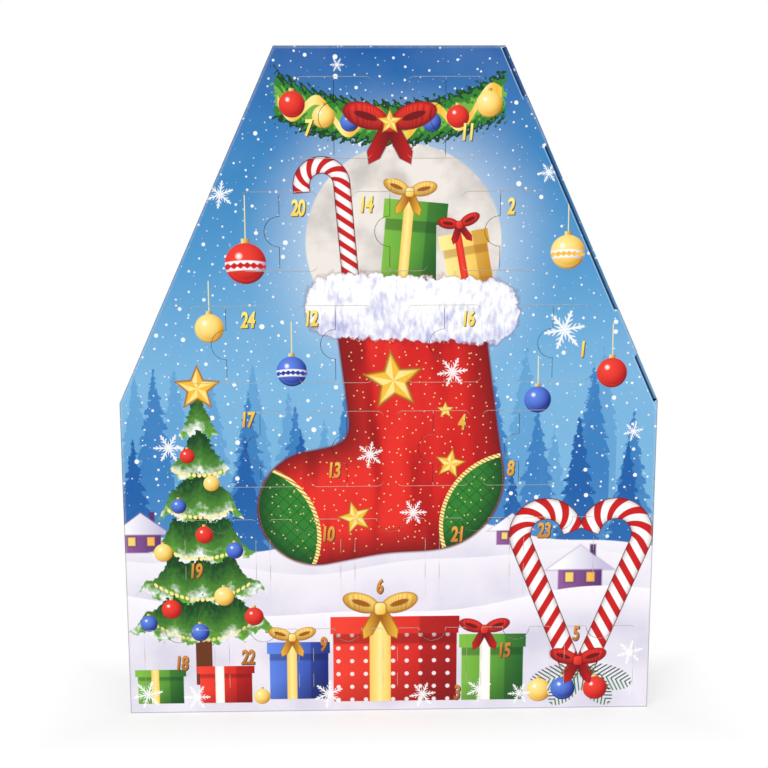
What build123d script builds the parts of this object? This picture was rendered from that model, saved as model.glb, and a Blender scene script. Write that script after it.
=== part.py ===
from build123d import *

import math
import os
from typing import NamedTuple

os.makedirs("parts", exist_ok=True)

# Millimetres. X runs along the width, the doors face -Y and Z is up. The origin is the
# middle of the base. Outlines are drawn in X and Z, and sheets have their thickness along Y.

# Carton of folded board, with a house-shaped front
board = 0.5
carton_width = 320.0
carton_height = 401.7
carton_depth = 38.0
shoulder_height = 195.3
ridge_width = 132.3
glue_flap_width = 12.0
glue_flap_setback = 2.0

# Tuck-in closure along the right slope
slot_depth = 2.8
slot_bevel = 2.0
tuck_length = 8.0
tuck_running_gap = 0.1
lock_tab_width = 28.0
lock_tab_spacing = 135.3
lock_tab_length = 14.0
lock_tab_taper = 4.0
closure_clearance = 0.3
tuck_end_clearance = 1.0

# Doors, cut in the front panel
cut_gap = 0.3
close_pitch_share = 0.1611
double_door_gap = 7.4
double_door_height = 46.4
double_corner_radius = 4.0
thumb_tab_radius = 8.7
single_door_gap = 8.6
single_door_height = 49.7
single_corner_radius = 2.0
thumb_notch_radius = 8.4
nick_gap = 0.05
slit_length = 8.5
slit_hinge_offset = 12.0
slit_spacing = 16.5
slits_per_side = 2

# Formed plastic tray, in strips of one row each
tray_sheet = 0.4
tray_clearance = 0.3
tray_closure_clearance = 4.0
tray_strip_gap = 0.3
pocket_lip = 1.6
pocket_corner_radius = 5.0
pocket_draft = 3.0

# Foil-wrapped chocolates, as wide and high as shares of the room in a pocket
sweet_clearance = 0.3
ball_width_share = 0.81
bell_width_share = 0.8
bell_height_share = 0.78
star_width_share = 0.98
star_notch_share = 0.52
star_points = 5
star_depth = 12.0
tree_width_share = 0.86
tree_height_share = 0.94
tree_depth = 12.0
relief_bevel = 3.0
relief_slope = 35.0
bar_width_share = 0.7
bar_height_share = 0.92
bar_depth = 15.0
bar_fillet = 3.0
coin_width_share = 0.94
coin_depth = 8.0
coin_fillet = 2.0

overrun = 10.0

front = -carton_depth / 2
back = carton_depth / 2
front_inside = front + board
back_inside = back - board
wall_depth = back_inside - front_inside

# The closest doors of each kind leave a named gap between them
close_pitch = close_pitch_share * carton_width
double_door_width = close_pitch - double_door_gap
single_door_width = close_pitch - single_door_gap


class Row(NamedTuple):
    """A row of doors, with its places as shares of the carton's height and width."""

    numbers: tuple
    leaves: int
    bottom_share: float
    pitch_share: float


# From the base to the ridge, and from left to right
rows = [
    Row(numbers=(18, 22, 9, 3, 15, 5), leaves=1, bottom_share=0.0099, pitch_share=close_pitch_share),
    Row(numbers=(19, 10, 6, 21, 23), leaves=1, bottom_share=0.1835, pitch_share=0.1601),
    Row(numbers=(17, 13, 4, 8), leaves=2, bottom_share=0.357, pitch_share=close_pitch_share),
    Row(numbers=(24, 12, 16, 1), leaves=2, bottom_share=0.5149, pitch_share=0.2005),
    Row(numbers=(20, 14, 2), leaves=2, bottom_share=0.6801, pitch_share=0.2005),
    Row(numbers=(7, 11), leaves=2, bottom_share=0.8421, pitch_share=0.2005),
]

outline = [
    (-carton_width / 2, 0),
    (carton_width / 2, 0),
    (carton_width / 2, shoulder_height),
    (ridge_width / 2, carton_height),
    (-ridge_width / 2, carton_height),
    (-carton_width / 2, shoulder_height),
]

# Edges of the outline, each by the corner where it starts
bottom_edge, right_edge, closure_edge, top_edge, left_slope_edge, left_edge = range(len(outline))

nodes = {}


def sheet(sketch, y_front, thickness):
    """A flat sheet with its front face at y_front."""
    plane = Plane(origin=(0, y_front + thickness, 0), x_dir=(1, 0, 0), z_dir=(0, -1, 0))
    return extrude(plane * sketch, amount=thickness)


def edge_vector(edge):
    start = Vector(*outline[edge])
    end = Vector(*outline[(edge + 1) % len(outline)])
    return end - start


def edge_length(edge):
    return edge_vector(edge).length


def edge_point(edge, along, inward):
    """The point so far along an edge of the outline and so far in from it."""
    direction = edge_vector(edge).normalized()
    inside = Vector(-direction.Y, direction.X)
    point = Vector(*outline[edge]) + direction * along + inside * inward
    return (point.X, point.Y)


def edge_shape(edge, *points):
    """A polygon whose points are given along an edge and inward from it."""
    return Polygon(*[edge_point(edge, along, inward) for along, inward in points], align=None)


def mitre(corner, depth):
    """How far a mitred end at this corner is set back at a depth inside the outline."""
    turn = edge_vector(corner - 1).get_angle(edge_vector(corner))
    return depth * math.tan(math.radians(turn / 2))


# Right slope: the front panel has a slot on each side of its two lock tabs

closure_length = edge_length(closure_edge)
lock_tab_middles = [closure_length / 2 - lock_tab_spacing / 2, closure_length / 2 + lock_tab_spacing / 2]
tab_edges = [middle + side * lock_tab_width / 2 for middle in lock_tab_middles for side in (-1, 1)]
slot_spans = [
    (0, tab_edges[0]),
    (tab_edges[1], tab_edges[2]),
    (tab_edges[3], closure_length),
]

# The tuck flaps swing out past the front panel, and lie just deep enough behind it for that
tuck_swing = math.hypot(tuck_length, wall_depth) - wall_depth
tuck_front = front_inside + tuck_swing + tuck_running_gap


def slot(span):
    """One slot of the front panel's slope edge, with slanted ends beside a lock tab."""
    start, end = span
    start_bevel = slot_bevel if start > 0 else 0
    end_bevel = slot_bevel if end < closure_length else 0
    return edge_shape(
        closure_edge,
        (start - (overrun if start == 0 else 0), -overrun),
        (end + (overrun if end == closure_length else 0), -overrun),
        (end + (overrun if end == closure_length else 0), 0),
        (end, 0),
        (end - end_bevel, slot_depth),
        (start + start_bevel, slot_depth),
        (start, 0),
        (start - (overrun if start == 0 else 0), 0),
    )


# Doors, drawn about the middle of their bottom line


def double_leaf(side):
    """Half of a double door: side -1 is the left leaf and +1 the right, which has the thumb tab."""
    door = RectangleRounded(double_door_width, double_door_height - 2 * cut_gap, double_corner_radius)
    half = Pos(side * double_door_width / 2, 0) * Rectangle(double_door_width - cut_gap, double_door_height)
    if side > 0:
        leaf = (door & half) + Circle(thumb_tab_radius)
    else:
        leaf = (door & half) - Circle(thumb_tab_radius + cut_gap)
    return Pos(0, double_door_height / 2) * leaf


def single_leaf():
    """A door hinged at its bottom, with a thumb notch at its top and slits down its sides."""
    width = single_door_width - 2 * nick_gap
    height = single_door_height - cut_gap
    leaf = Pos(0, height / 2) * Rectangle(width, height)
    top_corners = leaf.vertices().group_by(Axis.Y)[-1]
    leaf = fillet(top_corners, single_corner_radius)
    slit_depth = cut_gap - nick_gap
    for side in (-1, 1):
        for index in range(slits_per_side):
            middle = slit_hinge_offset + slit_length / 2 + index * slit_spacing
            leaf -= Pos(side * width / 2, middle) * Rectangle(2 * slit_depth, slit_length)
    return leaf - Pos(0, single_door_height) * Circle(thumb_notch_radius)


def double_opening():
    opening = RectangleRounded(double_door_width, double_door_height, double_corner_radius)
    return Pos(0, double_door_height / 2) * opening


def single_opening():
    """The opening of a single door. The panel keeps a half-moon that fills the door's notch."""
    opening = Pos(0, single_door_height / 2) * Rectangle(single_door_width, single_door_height)
    top_corners = opening.vertices().group_by(Axis.Y)[-1]
    opening = fillet(top_corners, single_corner_radius)
    return opening - Pos(0, single_door_height) * Circle(thumb_notch_radius - cut_gap)


def door_size(row):
    if row.leaves == 1:
        return single_door_width, single_door_height
    return double_door_width, double_door_height


def door_places(row):
    """Each door of a row: its number and the middle of its bottom line."""
    pitch = row.pitch_share * carton_width
    first = -(len(row.numbers) - 1) / 2
    return [
        (number, Pos((first + index) * pitch, row.bottom_share * carton_height))
        for index, number in enumerate(row.numbers)
    ]


for row in rows:
    for number, place in door_places(row):
        if row.leaves == 1:
            nodes[f"door_{number:02d}"] = sheet(place * single_leaf(), front, board)
        else:
            nodes[f"door_{number:02d}_left_leaf"] = sheet(place * double_leaf(-1), front, board)
            nodes[f"door_{number:02d}_right_leaf"] = sheet(place * double_leaf(1), front, board)


# Front and back panels

house = Polygon(*outline, align=None)
front_sketch = house
for span in slot_spans:
    front_sketch -= slot(span)
for row in rows:
    opening = single_opening() if row.leaves == 1 else double_opening()
    for number, place in door_places(row):
        front_sketch -= place * opening

nodes["front_panel"] = sheet(front_sketch, front, board)
nodes["back_panel"] = sheet(house, back_inside, board)


# Fixed walls, mitred at the corners, and their glue flaps on the back panel


def wall(edge):
    length = edge_length(edge)
    start = mitre(edge, board)
    end = length - mitre((edge + 1) % len(outline), board)
    section = edge_shape(edge, (0, 0), (length, 0), (end, board), (start, board))
    return sheet(section, front_inside, wall_depth)


def glue_flap(edge):
    root_end = edge_length(edge) - glue_flap_setback
    tip_start = glue_flap_setback + glue_flap_width
    tip_end = root_end - glue_flap_width
    tip = board + glue_flap_width
    section = edge_shape(
        edge, (glue_flap_setback, board), (root_end, board), (tip_end, tip), (tip_start, tip)
    )
    return sheet(section, back_inside - board, board)


fixed_walls = {
    "bottom_wall": bottom_edge,
    "right_wall": right_edge,
    "top_wall": top_edge,
    "left_slope_wall": left_slope_edge,
    "left_wall": left_edge,
}
for name, edge in fixed_walls.items():
    nodes[name] = wall(edge)

nodes["glue_flaps"] = Compound([glue_flap(edge) for edge in fixed_walls.values()])


# Closure wall, tuck flaps and lock tabs


def closure_wall():
    """The right slope's wall. It is folded from the back panel and swings out there."""
    start = mitre(closure_edge, board) + closure_clearance
    end = closure_length - mitre(top_edge, board) - closure_clearance
    section = edge_shape(closure_edge, (start, 0), (end, 0), (end, board), (start, board))
    return sheet(section, tuck_front, back_inside - tuck_front)


def tuck_flap(span):
    """The flap behind one slot, clear of the lock tabs beside it."""
    start, end = span
    root_start = start + tuck_end_clearance
    root_end = end - tuck_end_clearance
    section = edge_shape(
        closure_edge,
        (root_start, board),
        (root_end, board),
        (root_end - tuck_end_clearance, tuck_length),
        (root_start + tuck_end_clearance, tuck_length),
    )
    return sheet(section, tuck_front, board)


def lock_tab(middle):
    """A tab folded back from the front panel, flat behind the closure wall."""
    half = lock_tab_width / 2
    near = board + closure_clearance
    far = near + board
    root = edge_shape(
        closure_edge,
        (middle - half, near),
        (middle + half, near),
        (middle + half, far),
        (middle - half, far),
    )
    tip_half = half - lock_tab_taper
    tip = edge_shape(
        closure_edge,
        (middle - tip_half, near),
        (middle + tip_half, near),
        (middle + tip_half, far),
        (middle - tip_half, far),
    )
    root_plane = Plane(origin=(0, front_inside, 0), x_dir=(1, 0, 0), z_dir=(0, -1, 0))
    tip_plane = root_plane.offset(-lock_tab_length)
    return loft([root_plane * root, tip_plane * tip], ruled=True)


nodes["closure_wall"] = closure_wall()
nodes["tuck_flaps"] = Compound([tuck_flap(span) for span in slot_spans])
nodes["lock_tabs"] = Compound([lock_tab(middle) for middle in lock_tab_middles])


# Tray strips. The rim lies on the front panel and the pockets reach the glue flaps

pocket_depth = back_inside - board - front_inside
pocket_draft_inset = pocket_depth * math.tan(math.radians(pocket_draft))
row_tops = [row.bottom_share * carton_height + door_size(row)[1] for row in rows]
row_bottoms = [row.bottom_share * carton_height for row in rows]
strip_seams = [(top + bottom) / 2 for top, bottom in zip(row_tops, row_bottoms[1:])]


def tray_area():
    """All that the tray's rim may cover: inside the walls, and clear of the closure's swing."""
    inside = offset(house, amount=-(board + tray_clearance), kind=Kind.INTERSECTION)
    reach = tuck_length + tray_closure_clearance
    closure_zone = edge_shape(
        closure_edge,
        (-overrun, -overrun),
        (closure_length + overrun, -overrun),
        (closure_length + overrun, reach),
        (-overrun, reach),
    )
    return inside - closure_zone


def pocket_block(size, sheet_inset, depth):
    """The body of one pocket, which narrows towards its floor."""
    width = size[0] - 2 * pocket_lip - 2 * sheet_inset
    height = size[1] - 2 * pocket_lip - 2 * sheet_inset
    mouth = RectangleRounded(width, height, pocket_corner_radius - sheet_inset)
    plane = Plane(origin=(0, front_inside, 0), x_dir=(1, 0, 0), z_dir=(0, -1, 0))
    return extrude(plane * mouth, amount=-depth, taper=pocket_draft)


def tray_strip(index):
    row = rows[index]
    size = door_size(row)
    low = strip_seams[index - 1] + tray_strip_gap / 2 if index > 0 else 0
    high = strip_seams[index] - tray_strip_gap / 2 if index < len(strip_seams) else carton_height
    band = Pos(0, (low + high) / 2) * Rectangle(carton_width, high - low)
    strip = sheet(tray_area() & band, front_inside, tray_sheet)
    cup = pocket_block(size, 0, pocket_depth)
    hollow = pocket_block(size, tray_sheet, pocket_depth - tray_sheet)
    for number, place in door_places(row):
        centre = Pos(place.position.X, 0, place.position.Y + size[1] / 2)
        strip += centre * cup
    for number, place in door_places(row):
        centre = Pos(place.position.X, 0, place.position.Y + size[1] / 2)
        strip -= centre * hollow
    return strip


for index in range(len(rows)):
    nodes[f"tray_strip_{index + 1}"] = tray_strip(index)


# Chocolates, each drawn with its back at y 0, standing on z 0, in the middle of its width

pocket_narrowing = pocket_lip + tray_sheet + pocket_draft_inset + sweet_clearance
room_width = min(single_door_width, double_door_width) - 2 * pocket_narrowing
room_height = min(single_door_height, double_door_height) - 2 * pocket_narrowing


def ball():
    radius = ball_width_share * room_width / 2
    return Pos(0, -radius, radius) * Sphere(radius)


def bell():
    """A bell with a round crown, turned about its upright axis."""
    radius = bell_width_share * room_width / 2
    height = bell_height_share * room_height
    crown_radius = radius / 2
    crown = height - crown_radius
    rim = crown_radius / 4
    crown_middle = crown_radius * math.sin(math.pi / 4)
    flare = Spline((radius, rim), (crown_radius, crown), tangents=[(-radius, height), (0, crown)])
    dome = ThreePointArc((crown_radius, crown), (crown_middle, crown + crown_middle), (0, height))
    base = Polyline((0, height), (0, 0), (radius, 0), (radius, rim))
    profile = Plane.XZ * make_face(base + flare + dome)
    return Pos(0, -radius, 0) * revolve(profile, Axis.Z)


def relief(shape, depth):
    """A moulded plaque: a flat-backed shape with a bevelled front edge."""
    plane = Plane(origin=(0, 0, 0), x_dir=(1, 0, 0), z_dir=(0, -1, 0))
    body = extrude(plane * shape, amount=depth - relief_bevel)
    top = extrude(plane.offset(depth - relief_bevel) * shape, amount=relief_bevel, taper=relief_slope)
    return body + top


def star():
    """A star that stands on two of its points."""
    corner = math.pi / star_points
    radius = star_width_share * room_width / 2 / math.cos(corner / 2)
    points = []
    for step in range(2 * star_points):
        reach = radius if step % 2 == 0 else radius * star_notch_share
        angle = math.pi / 2 + step * corner
        points.append((reach * math.cos(angle), reach * math.sin(angle)))
    foot = min(point[1] for point in points)
    return relief(Pos(0, -foot) * Polygon(*points, align=None), star_depth)


def tree():
    """A fir tree of three tiers on a short trunk, drawn up its right side and mirrored."""
    side_shares = (
        (0.22, 0.0), (0.22, 0.14), (1.0, 0.14), (0.5, 0.42), (0.78, 0.42), (0.36, 0.68), (0.56, 0.68)
    )
    half = tree_width_share * room_width / 2
    height = tree_height_share * room_height
    right = [(half * wide, height * high) for wide, high in side_shares]
    left = [(-x, z) for x, z in reversed(right)]
    return relief(Polygon(*right, (0, height), *left, align=None), tree_depth)


def bar():
    height = bar_height_share * room_height
    block = Box(bar_width_share * room_width, bar_depth, height)
    block = fillet(block.edges().filter_by(Axis.Z) + block.edges().filter_by(Axis.X), bar_fillet)
    return Pos(0, -bar_depth / 2, height / 2) * block


def coin():
    radius = coin_width_share * room_width / 2
    disc = Pos(0, -coin_depth / 2, radius) * (Rot(90, 0, 0) * Cylinder(radius, coin_depth))
    return fillet(disc.edges().filter_by(GeomType.CIRCLE), coin_fillet)


sweet_kinds = {
    "foil_balls": ball,
    "foil_bells": bell,
    "foil_stars": star,
    "foil_trees": tree,
    "foil_bars": bar,
    "foil_coins": coin,
}
kind_names = list(sweet_kinds)
sweets = {name: [] for name in kind_names}
pocket_floor = front_inside + pocket_depth - tray_sheet

for row in rows:
    for number, place in door_places(row):
        name = kind_names[number % len(kind_names)]
        seat = Pos(place.position.X, pocket_floor, place.position.Y + pocket_narrowing)
        sweets[name].append(seat * sweet_kinds[name]())

for name, pieces in sweets.items():
    nodes[name] = Compound(pieces)


for name, shape in nodes.items():
    export_step(shape, f"parts/{name}.step")
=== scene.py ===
import contextlib
import math

import bpy
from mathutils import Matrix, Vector


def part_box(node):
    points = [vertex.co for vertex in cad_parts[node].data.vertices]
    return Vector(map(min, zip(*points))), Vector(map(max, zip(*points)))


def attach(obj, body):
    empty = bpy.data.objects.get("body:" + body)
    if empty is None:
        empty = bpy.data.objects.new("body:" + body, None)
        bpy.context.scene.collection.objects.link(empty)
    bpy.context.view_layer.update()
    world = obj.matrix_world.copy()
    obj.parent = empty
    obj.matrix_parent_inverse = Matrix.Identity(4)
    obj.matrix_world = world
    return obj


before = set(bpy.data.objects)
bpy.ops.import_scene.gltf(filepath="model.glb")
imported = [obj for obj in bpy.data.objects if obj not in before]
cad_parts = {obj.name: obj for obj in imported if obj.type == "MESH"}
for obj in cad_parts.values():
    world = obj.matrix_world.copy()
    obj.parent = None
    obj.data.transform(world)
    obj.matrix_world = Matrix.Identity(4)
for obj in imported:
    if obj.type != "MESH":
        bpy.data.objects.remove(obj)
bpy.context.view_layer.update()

# Front sheet of the carton and the leaves cut from it. One sheet of bleached carton board,
# printed in one pass before the doors are die-cut, so the picture runs on across every cut.
# The inside is bare board, and the cut edges show its pale core.

MM = 0.001
WIDTH = 320.0
HEIGHT = 401.7
DEPTH = 38.0
SHOULDER = 195.3
RIDGE = 132.3
SLOPE = math.hypot(HEIGHT - SHOULDER, (WIDTH - RIDGE) / 2)
LEAN = ((HEIGHT - SHOULDER) / SLOPE, (WIDTH - RIDGE) / 2 / SLOPE)


def linear(colour):
    """A colour written in 0 to 255, as the shader takes it."""
    parts = [c / 255 for c in colour]
    return tuple(p / 12.92 if p <= 0.04045 else ((p + 0.055) / 1.055) ** 2.4 for p in parts) + (1.0,)


class Value:
    """A socket of a finish. Arithmetic on it adds the Math nodes."""

    def __init__(self, finish, socket):
        self.finish = finish
        self.socket = socket

    def __repr__(self):
        return f"{self.socket.node.name} {self.socket.identifier}"

    def __add__(self, other):
        return self.finish.math("ADD", self, other)

    def __sub__(self, other):
        return self.finish.math("SUBTRACT", self, other)

    def __rsub__(self, other):
        return self.finish.math("SUBTRACT", other, self)

    def __mul__(self, other):
        return self.finish.math("MULTIPLY", self, other)

    def __truediv__(self, other):
        return self.finish.math("DIVIDE", self, other)

    def __rtruediv__(self, other):
        return self.finish.math("DIVIDE", other, self)

    def __neg__(self):
        return self * -1.0

    def __abs__(self):
        return self.finish.math("ABSOLUTE", self)

    __radd__ = __add__
    __rmul__ = __mul__


LABELS = {"specular_level": "Specular IOR Level"}


class Finish:
    """A material: its node tree, and the places on the object in millimetres."""

    def __init__(self, name, **shader):
        self.material = bpy.data.materials.new(name)
        self.material.use_nodes = True
        self.tree = self.material.node_tree
        self.tree.nodes.clear()
        self.nodes_made = {}
        self.surface = self.tree.nodes.new("ShaderNodeBsdfPrincipled")
        for key, value in shader.items():
            self.surface.inputs[LABELS.get(key, key.replace("_", " ").title())].default_value = value

    def node(self, kind, settings=None, sockets=None, output=0):
        """A node, made once for each use of the same kind on the same values."""
        wanted = (self.tree.name, kind, repr(settings), repr(sorted((sockets or {}).items(), key=str)))
        if wanted not in self.nodes_made:
            self.nodes_made[wanted] = self.new_node(kind, settings, sockets)
        return Value(self, self.nodes_made[wanted].outputs[output])

    def new_node(self, kind, settings, sockets):
        made = self.tree.nodes.new(kind)
        for key, value in (settings or {}).items():
            if key == "interpolation":
                made.color_ramp.interpolation = value
            elif key == "stops":
                while len(made.color_ramp.elements) < len(value):
                    made.color_ramp.elements.new(1.0)
                for element, (place, colour) in zip(made.color_ramp.elements, value):
                    element.position = place
                    element.color = linear(colour)
            else:
                setattr(made, key, value)
        for key, value in (sockets or {}).items():
            if isinstance(value, Value):
                self.tree.links.new(value.socket, made.inputs[key])
            else:
                made.inputs[key].default_value = value
        return made

    def math(self, operation, *values, clamp=False):
        made = self.node("ShaderNodeMath", {"operation": operation}, dict(enumerate(values)))
        return self.node("ShaderNodeClamp", sockets={0: made}) if clamp else made

    def vector(self, operation, a, b, output="Vector"):
        return self.node("ShaderNodeVectorMath", {"operation": operation}, {0: a, 1: b}, output)

    def blend(self, share, a, b):
        """Mixes two colours, by the sockets that a Mix node keeps for them."""
        settings = {"data_type": "RGBA", "clamp_factor": True}
        return self.node("ShaderNodeMix", settings, {0: share, 6: a, 7: b}, 2)

    def mix(self, share, a, b):
        """Colour a where the share is 0 and colour b where it is 1."""
        a, b = (colour if isinstance(colour, Value) else linear(colour) for colour in (a, b))
        return self.blend(share, a, b)

    def larger(self, a, b):
        return self.math("MAXIMUM", a, b)

    def smaller(self, a, b):
        return self.math("MINIMUM", a, b)

    def inside(self, distance, soft=0.3):
        """1 where a distance in millimetres is below 0, with an edge as soft as given."""
        return self.math("MULTIPLY_ADD", distance, -1 / soft, 0.5, clamp=True)

    def noise(self, place, size, detail=2.0, dimensions="2D"):
        sockets = {"Vector": place, "Scale": 1 / size, "Detail": detail}
        return self.node("ShaderNodeTexNoise", {"noise_dimensions": dimensions}, sockets)

    def moved(self, place, at=(0, 0, 0), turn=0, scale=(1, 1, 1)):
        sockets = {"Vector": place, "Location": at, "Rotation": (0, 0, math.radians(turn)), "Scale": scale}
        return self.node("ShaderNodeMapping", {"vector_type": "POINT"}, sockets)

    def axes(self, place):
        return [self.node("ShaderNodeSeparateXYZ", sockets={0: place}, output=axis) for axis in range(3)]

    def start(self):
        """The object's own places in millimetres and its own face directions."""
        self.places = self.moved(self.node("ShaderNodeTexCoord", output="Object"), scale=(1 / MM,) * 3)
        self.normal = self.node("ShaderNodeTexCoord", output="Normal")

    def bump(self, height, strength, distance):
        """Raises the surface by up to the given distance in millimetres."""
        sockets = {"Height": height, "Strength": strength, "Distance": distance * MM}
        made = self.node("ShaderNodeBump", sockets=sockets)
        self.tree.links.new(made.socket, self.surface.inputs["Normal"])

    def close(self, **inputs):
        """Links what changes over the surface, and the surface to the output."""
        for key, value in inputs.items():
            self.tree.links.new(value.socket, self.surface.inputs[key.replace("_", " ").title()])
        end = self.tree.nodes.new("ShaderNodeOutputMaterial")
        self.tree.links.new(self.surface.outputs[0], end.inputs[0])
        return self.material


RED = (204, 22, 22)
DEEP_RED = (112, 4, 12)
LIGHT_RED = (244, 66, 48)
GOLD = (246, 190, 58)
DEEP_GOLD = (160, 92, 14)
LIGHT_GOLD = (255, 236, 150)
GREEN = (46, 128, 44)
DEEP_GREEN = (10, 62, 26)
LIGHT_GREEN = (128, 190, 66)
BLUE = (34, 58, 158)
DEEP_BLUE = (14, 20, 78)
LIGHT_BLUE = (96, 136, 232)
CREAM = (252, 240, 214)
DEEP_CREAM = (206, 160, 96)
WHITE = (255, 255, 255)
WHITE_SHADE = (150, 140, 170)

# the light, plain and deep tone of each dye
DYES = {
    "red": (LIGHT_RED, RED, DEEP_RED),
    "gold": (LIGHT_GOLD, GOLD, DEEP_GOLD),
    "green": (LIGHT_GREEN, GREEN, DEEP_GREEN),
    "blue": (LIGHT_BLUE, BLUE, DEEP_BLUE),
    "cream": (WHITE, CREAM, DEEP_CREAM),
}


def as_motif(draw):
    """Gives what a method draws a node group of its own."""

    def drawn(sheet, *places, **choices):
        with sheet.motif(draw.__name__.replace("_", " ")):
            draw(sheet, *places, **choices)

    return drawn


class Picture(Finish):
    """A printed face. Each motif is laid over what is printed so far."""

    def spread(self, across, up):
        """Spreads the print flat over the given two ways, in millimetres."""
        self.x, self.z = across, up
        self.flat = self.node("ShaderNodeCombineXYZ", sockets={0: across, 1: up})

    @contextlib.contextmanager
    def motif(self, name):
        """One motif of the print, in a node group of its own."""
        outside = self.tree, self.so_far, self.flat, self.x, self.z
        self.tree = bpy.data.node_groups.new(name, "ShaderNodeTree")
        ends = [("Print", "Color"), ("Place", "Vector"), ("Across", "Float"), ("Up", "Float")]
        for label, kind in ends:
            self.tree.interface.new_socket(label, in_out="INPUT", socket_type="NodeSocket" + kind)
        self.tree.interface.new_socket("Print", in_out="OUTPUT", socket_type="NodeSocketColor")
        entry = self.tree.nodes.new("NodeGroupInput").outputs[: len(ends)]
        self.so_far, self.flat, self.x, self.z = (Value(self, socket) for socket in entry)
        yield
        self.tree.links.new(self.so_far.socket, self.tree.nodes.new("NodeGroupOutput").inputs[0])
        group = self.tree
        self.tree, *before = outside
        self.so_far = self.node("ShaderNodeGroup", {"node_tree": group}, dict(enumerate(before)))
        self.flat, self.x, self.z = before[1:]

    def lay(self, mask, colour):
        self.so_far = self.mix(mask, self.so_far, colour)

    def gap(self, x, z):
        """How far each place is from a point of the picture."""
        return self.vector("DISTANCE", self.flat, (x, z, 0), "Value")

    def turned(self, x, z, degrees):
        """Places about a point of the picture, along and across a direction."""
        c, s = math.cos(math.radians(degrees)), math.sin(math.radians(degrees))
        if not degrees:
            return self.x - x, self.z - z
        offset = self.vector("SUBTRACT", self.flat, (x, z, 0))
        along = self.vector("DOT_PRODUCT", offset, (c, s, 0), "Value")
        across = self.vector("DOT_PRODUCT", offset, (-s, c, 0), "Value")
        return along, across

    def block(self, u, w, half_u, half_w):
        """Distance to a square-cornered block."""
        return self.larger(abs(u) - half_u, abs(w) - half_w)

    def bar(self, x, z, x2, z2, radius):
        """Distance to a round-ended bar between two points."""
        length = math.hypot(x2 - x, z2 - z)
        u, w = self.turned((x + x2) / 2, (z + z2) / 2, math.degrees(math.atan2(z2 - z, x2 - x)))
        beyond = self.larger(abs(u) - length / 2, 0.0)
        return self.math("SQRT", beyond * beyond + w * w) - radius

    def pick(self, share, a, b):
        """Three numbers a where the share is 0 and three numbers b where it is 1."""
        a, b = (three if isinstance(three, Value) else (*three, 1.0) for three in (a, b))
        return self.blend(share, a, b)

    def parts(self, three):
        return [self.node("ShaderNodeSeparateColor", sockets={0: three}, output=part) for part in range(3)]

    def copies(self, spots, reach):
        """The copy of a motif that covers each place: across, up, its mark and its dye's number.

        A spot is its place, size, turn, dye and mark, where a mark of 1 picks the banded kind.
        A seat's numbers are kept above 0, as a colour socket cuts off what is below.
        """
        seat, dress = (0.0, 0.0, 1.0), (0.0, 0.0, 0.0)
        for x, z, size, turn, dye, mark in spots:
            near = self.math("LESS_THAN", self.gap(x, z), size * reach)
            seat = self.pick(near, seat, (x + WIDTH, z, 1 / size))
            marks = (math.radians(turn + 360), mark, self.dye_number(dye))
            dress = self.pick(near, dress, marks)
        x, z, scale = self.parts(seat)
        turn, mark, dye = self.parts(dress)
        return *self.local(x, z, turn, scale), mark, dye

    def local(self, x, z, turn, scale=1.0):
        """Places about the seat of a copy, turned with it and in units of its size."""
        u, w = (self.x + WIDTH - x) * scale, (self.z - z) * scale
        c, s = self.math("COSINE", turn), self.math("SINE", turn)
        return u * c + w * s, w * c - u * s

    def dye_number(self, dye):
        return (list(DYES).index(dye) + 0.5) / len(DYES)

    def tones(self, number):
        """The light, plain and deep tone of a dye given by its number."""
        for tone in range(3):
            stops = [(place / len(DYES), dye[tone]) for place, dye in enumerate(DYES.values())]
            settings = {"interpolation": "CONSTANT", "stops": stops}
            yield self.node("ShaderNodeValToRGB", settings, {0: number})

    def spokes(self, u, w, points):
        """Places folded into one half of a spoke: along it, across it, and the fold they came from."""
        reach = self.math("SQRT", u * u + w * w)
        angle = self.math("ARCTAN2", w, u) + 4 * math.pi
        sector = self.math("PINGPONG", angle, math.pi / points)
        fold = self.math("SINE", angle * points)
        return reach * self.math("COSINE", sector), reach * self.math("SINE", sector), fold

    @as_motif
    def snow_crystals(self, spots):
        """Six-armed snow crystals of thin lines."""
        u, w, _, _ = self.copies([(*spot, "cream", 0.0) for spot in spots], 1.05)
        along, across, _ = self.spokes(u, w, 6)
        line = 0.055
        twig = self.math("PINGPONG", along - across * 1.2 - 0.1, 0.14) - line * 0.75
        twig = self.larger(twig, across + along * 0.36 - 0.42)
        shape = self.larger(self.smaller(across - line, twig), along - 1.0)
        self.lay(self.inside(shape, 0.05) * 0.92, WHITE)

    @as_motif
    def threads(self, spots):
        """Gold threads, each given by its place, its foot and its length."""
        drawn, half_thread = 0.0, 0.3
        for x, foot, length in spots:
            near = self.math("COMPARE", self.x, x, half_thread)
            near = near * self.math("COMPARE", self.z, foot + length / 2, length / 2)
            drawn = self.larger(near, drawn)
        self.lay(drawn * 0.9, LIGHT_GOLD)

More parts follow.
